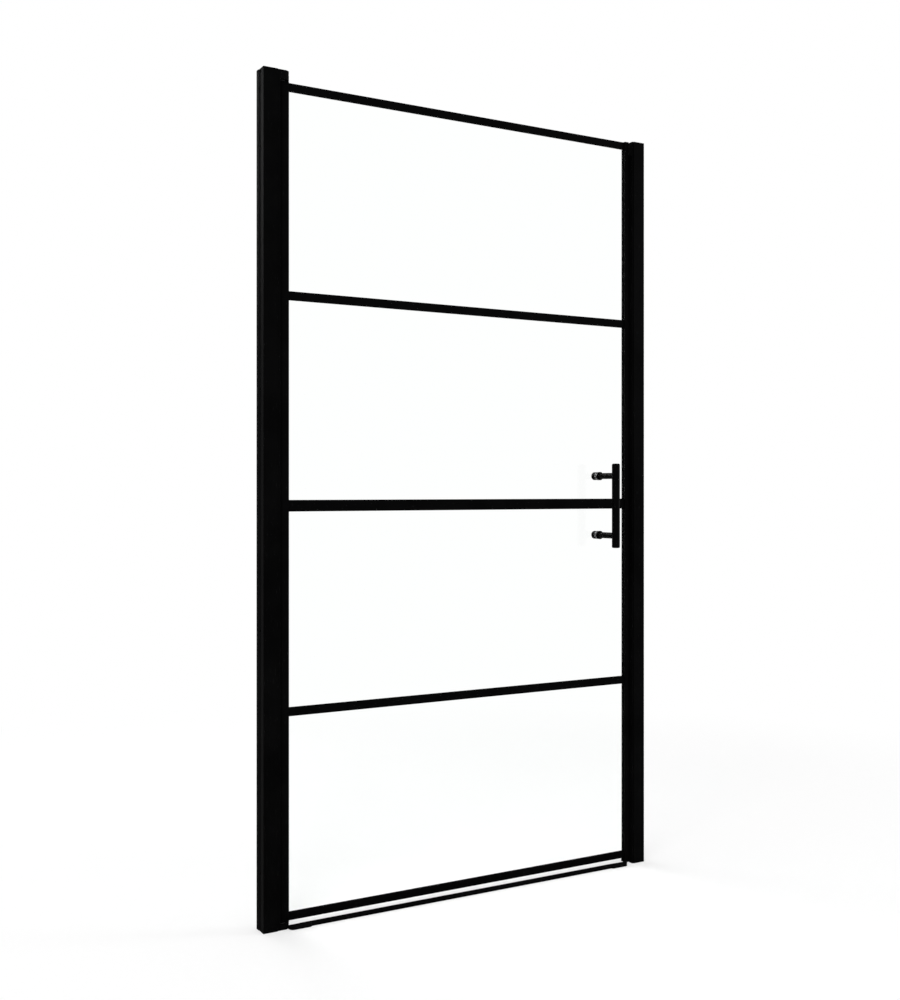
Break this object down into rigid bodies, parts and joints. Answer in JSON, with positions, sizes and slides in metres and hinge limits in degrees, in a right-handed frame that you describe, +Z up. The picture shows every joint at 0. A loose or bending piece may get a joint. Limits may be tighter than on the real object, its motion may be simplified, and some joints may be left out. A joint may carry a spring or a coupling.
{
  "type": "framed hinged glass shower door",
  "caption": "Framed glass door leaf with cross bars and a pull handle, turning on pivots between two wall posts over a low threshold.",
  "frame": {"origin": "on the floor, midway between the two walls, under the middle of the leaf's thickness", "axes": "+Z up; +X from the hinge side to the strike side; -Y towards the side with the pull handle"},
  "size_m": [1, 0.0986, 1.7808],
  "materials": {
    "black_profile": "satin black powder coat",
    "black_casting": "satin black powder coat on die castings",
    "black_handle": "smooth satin black coat",
    "black_screw": "black zinc plate",
    "black_plastic": "fine moulded grain",
    "black_rubber": "matte",
    "magnet_strip": "satin plastic bonded magnet",
    "pivot_nylon": "dark nylon",
    "clear_sleeve": "clear plastic",
    "pivot_steel": "turned stainless steel",
    "clear_glass": "clear toughened, polished"
  },
  "bodies": {
    "door_frame": {"hinge_wall_channel": "black_profile", "hinge_post": "black_profile", "hinge_channel_cap": "black_plastic", "hinge_lock_screws": "black_screw", "hinge_side_seal": "black_rubber", "top_pivot_block": "black_casting", "bottom_pivot_block": "black_casting", "top_pivot_bush": "pivot_nylon", "bottom_pivot_bush": "pivot_nylon", "pivot_block_screws": "black_screw", "strike_wall_channel": "black_profile", "strike_post": "black_profile", "strike_channel_cap": "black_plastic", "strike_post_cap": "black_plastic", "strike_lock_screws": "black_screw", "strike_magnet_strip": "magnet_strip", "threshold_strip": "black_profile", "threshold_end_left": "black_plastic", "threshold_end_right": "black_plastic"},
    "door_leaf": {"glass_pane": "clear_glass", "hinge_stile": "black_profile", "strike_stile": "black_profile", "hinge_glazing_gasket": "black_rubber", "strike_glazing_gasket": "black_rubber", "top_rail": "black_profile", "bottom_rail": "black_profile", "upper_bar_front": "black_profile", "upper_bar_rear": "black_profile", "middle_bar_front": "black_profile", "middle_bar_rear": "black_profile", "lower_bar_front": "black_profile", "lower_bar_rear": "black_profile", "top_pivot_plug": "black_casting", "bottom_pivot_plug": "black_casting", "top_pivot_pin": "pivot_steel", "bottom_pivot_pin": "pivot_steel", "strike_stile_top_cap": "black_plastic", "strike_stile_bottom_cap": "black_plastic", "corner_screws": "black_screw", "leaf_magnet_strip": "magnet_strip", "handle_bar": "black_handle", "handle_top_cap": "black_handle", "handle_bottom_cap": "black_handle", "upper_handle_stem": "black_handle", "lower_handle_stem": "black_handle", "handle_roses": "black_handle", "front_glass_washers": "clear_sleeve", "rear_glass_washers": "clear_sleeve", "glass_hole_sleeves": "clear_sleeve", "handle_studs": "pivot_steel", "upper_handle_knob": "black_handle", "lower_handle_knob": "black_handle"}
  },
  "joints": [
    {"name": "leaf_swing", "type": "hinge", "parent": "door_frame", "child": "door_leaf", "pos_m": [-0.452, 0, 0.9], "axis": [0, 0, -1], "range_deg": [-90, 85]}
  ]
}
